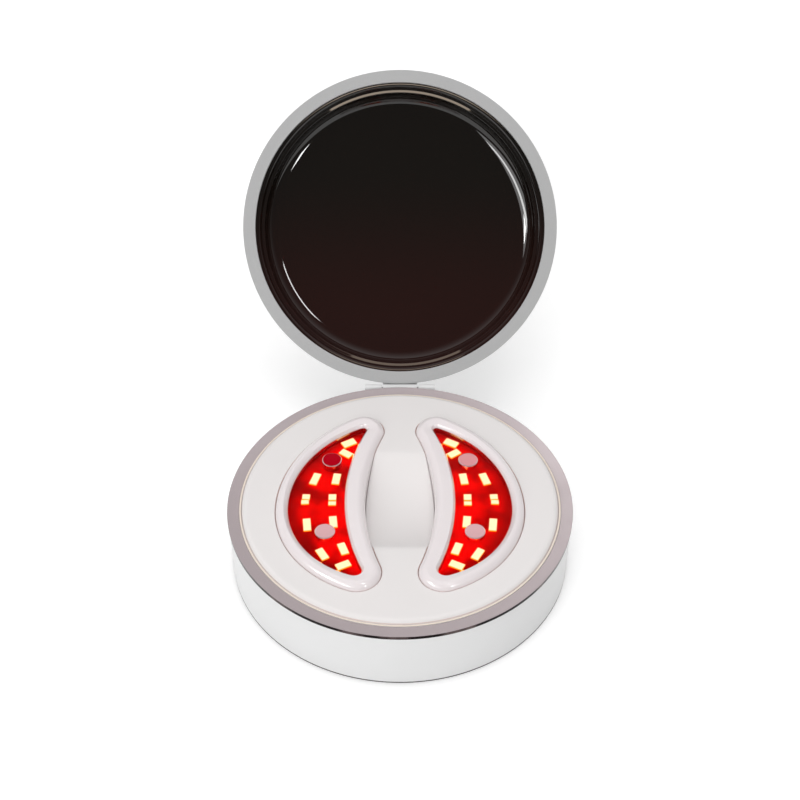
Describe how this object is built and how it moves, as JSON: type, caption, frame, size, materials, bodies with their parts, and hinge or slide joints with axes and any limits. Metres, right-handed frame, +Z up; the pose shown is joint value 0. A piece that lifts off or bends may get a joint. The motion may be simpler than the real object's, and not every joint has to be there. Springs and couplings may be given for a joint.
{
  "type": "eye massager",
  "caption": "Round hinged charging case, open, with crescent under-eye pulse massagers, red light windows up, lying in its tray.",
  "frame": {"origin": "middle of the foot pad's underside, on the table", "axes": "+Z up, -Y towards the user, +Y towards the hinge, +X to the user's right"},
  "size_m": [0.09, 0.1606, 0.0835],
  "materials": {
    "white_shell": "moulded ABS, fine satin gloss",
    "white_tray": "moulded ABS, satin",
    "trim_metal": "plated, soft grey satin on the face, bright on the edge",
    "black_liner": "piano black, mirror gloss",
    "red_window": "clear red, polished",
    "electrode_metal": "polished",
    "led_board": "board lit red by its lamps",
    "circuit_board": "green solder mask",
    "battery_foil": "satin foil pouch",
    "nickel_steel": "nickel plated",
    "gold_contact": "gold plated",
    "foot_rubber": "matt soft rubber",
    "button_grey": "fine matt"
  },
  "bodies": {
    "root": {"base_shell": "white_shell", "base_trim_ring": "trim_metal", "inner_tray": "white_tray", "bottom_cover": "white_shell", "foot_pad": "foot_rubber", "tray_screw_1": "nickel_steel", "tray_screw_2": "nickel_steel", "tray_screw_3": "nickel_steel", "tray_screw_4": "nickel_steel", "charging_board": "circuit_board", "usb_socket": "nickel_steel", "case_battery": "battery_foil", "latch_magnet": "nickel_steel", "hinge_pin": "nickel_steel", "left_pocket_magnet": "nickel_steel", "right_pocket_magnet": "nickel_steel", "left_pocket_contact_inner": "gold_contact", "left_pocket_contact_outer": "gold_contact", "right_pocket_contact_inner": "gold_contact", "right_pocket_contact_outer": "gold_contact"},
    "lid": {"lid_shell": "white_shell", "lid_trim_ring": "trim_metal", "lid_liner": "black_liner"},
    "left_massager": {"left_face_frame": "white_shell", "left_window_lens": "red_window", "left_electrode_upper": "electrode_metal", "left_electrode_lower": "electrode_metal", "left_led_board": "led_board", "left_pulse_board": "circuit_board", "left_cell": "battery_foil", "left_magnet": "nickel_steel", "left_charge_contact_inner": "gold_contact", "left_charge_contact_outer": "gold_contact", "left_back_shell": "white_shell"},
    "right_massager": {"right_face_frame": "white_shell", "right_window_lens": "red_window", "right_electrode_upper": "electrode_metal", "right_electrode_lower": "electrode_metal", "right_led_board": "led_board", "right_pulse_board": "circuit_board", "right_cell": "battery_foil", "right_magnet": "nickel_steel", "right_charge_contact_inner": "gold_contact", "right_charge_contact_outer": "gold_contact", "right_back_shell": "white_shell"},
    "left_button": {"left_mode_button": "button_grey"},
    "right_button": {"right_mode_button": "button_grey"}
  },
  "joints": [
    {"name": "lid_hinge", "type": "hinge", "parent": "root", "child": "lid", "pos_m": [0, 0.04643, 0.0169], "axis": [-1, 0, 0], "range_deg": [-131.88, 0]},
    {"name": "left_massager_lift", "type": "slide", "parent": "root", "child": "left_massager", "axis": [0, 0, 1], "range_m": [0, 0.03]},
    {"name": "right_massager_lift", "type": "slide", "parent": "root", "child": "right_massager", "axis": [0, 0, 1], "range_m": [0, 0.03]},
    {"name": "left_button_press", "type": "slide", "parent": "left_massager", "child": "left_button", "axis": [0, 0, 1], "range_m": [0, 0.0004], "stiffness_N_per_m": 800},
    {"name": "right_button_press", "type": "slide", "parent": "right_massager", "child": "right_button", "axis": [0, 0, 1], "range_m": [0, 0.0004], "stiffness_N_per_m": 800}
  ]
}
